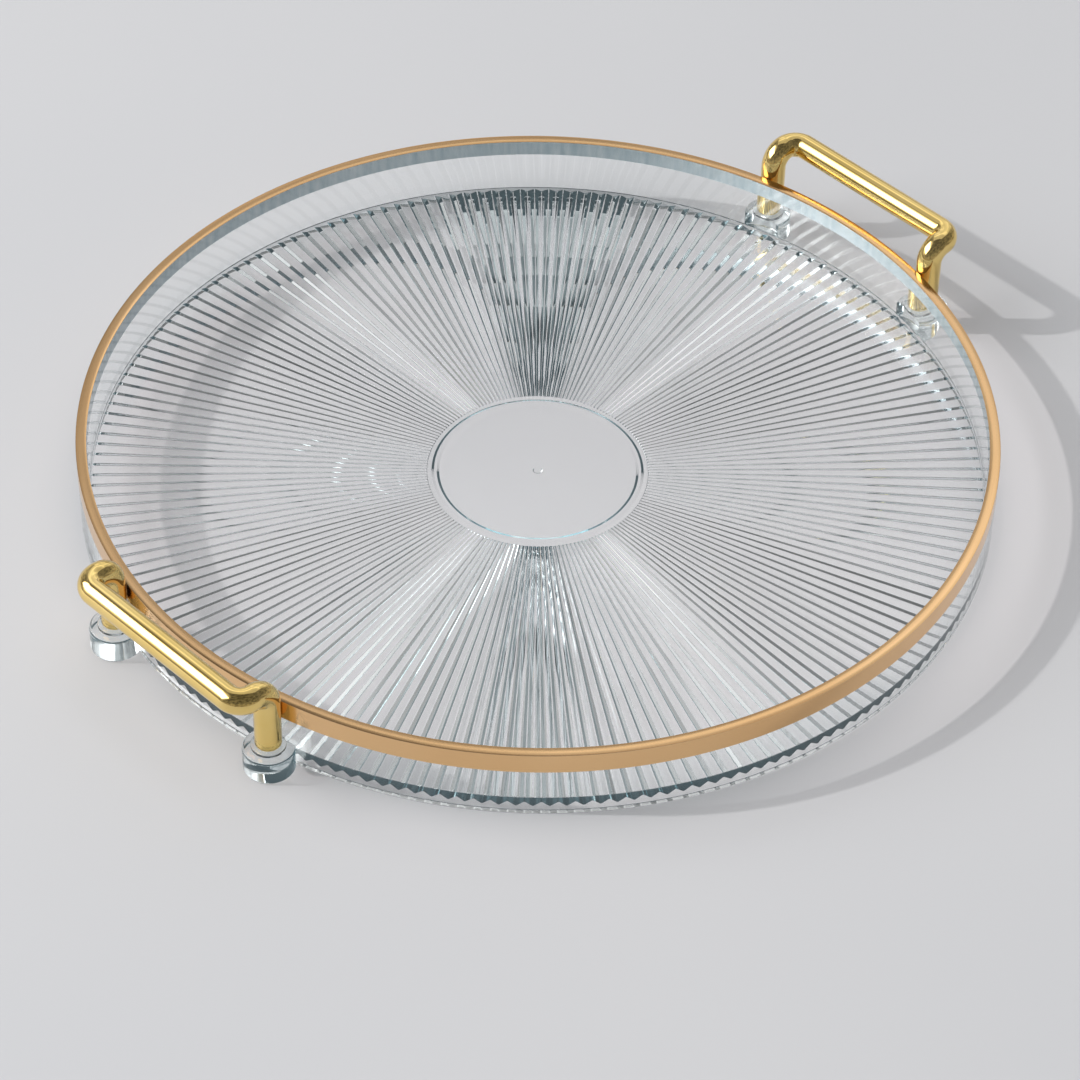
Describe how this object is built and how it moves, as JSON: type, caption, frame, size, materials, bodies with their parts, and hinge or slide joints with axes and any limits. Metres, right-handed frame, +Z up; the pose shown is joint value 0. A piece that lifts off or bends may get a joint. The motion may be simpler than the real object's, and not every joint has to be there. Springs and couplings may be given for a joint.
{
  "type": "dresser vanity tray",
  "caption": "Round clear tray with a rib-lined floor, a gold rim band and fixed gold bow handles at opposite ends, for standing bottles and small things on a dresser.",
  "frame": {"origin": "on the table plane, at the centre of the round tray, which is also the bottom centre of the box", "axes": "+X along the line through the two handles, +Y across it, +Z up"},
  "size_m": [0.33, 0.3, 0.0377],
  "materials": {
    "clear_plastic": "polished clear moulding, faintly blue-green in its thick edges",
    "gold_film": "bright warm gold film on the wall's top and outside, silvery through the plastic",
    "gold_plate": "mirror-polished yellow gold plating",
    "clear_washer": "clear, smooth"
  },
  "bodies": {
    "root": {"tray_body": "clear_plastic", "rim_band": "gold_film", "handle_left": "gold_plate", "handle_right": "gold_plate", "washer_left_front": "clear_washer", "washer_left_back": "clear_washer", "washer_right_front": "clear_washer", "washer_right_back": "clear_washer"}
  },
  "joints": []
}
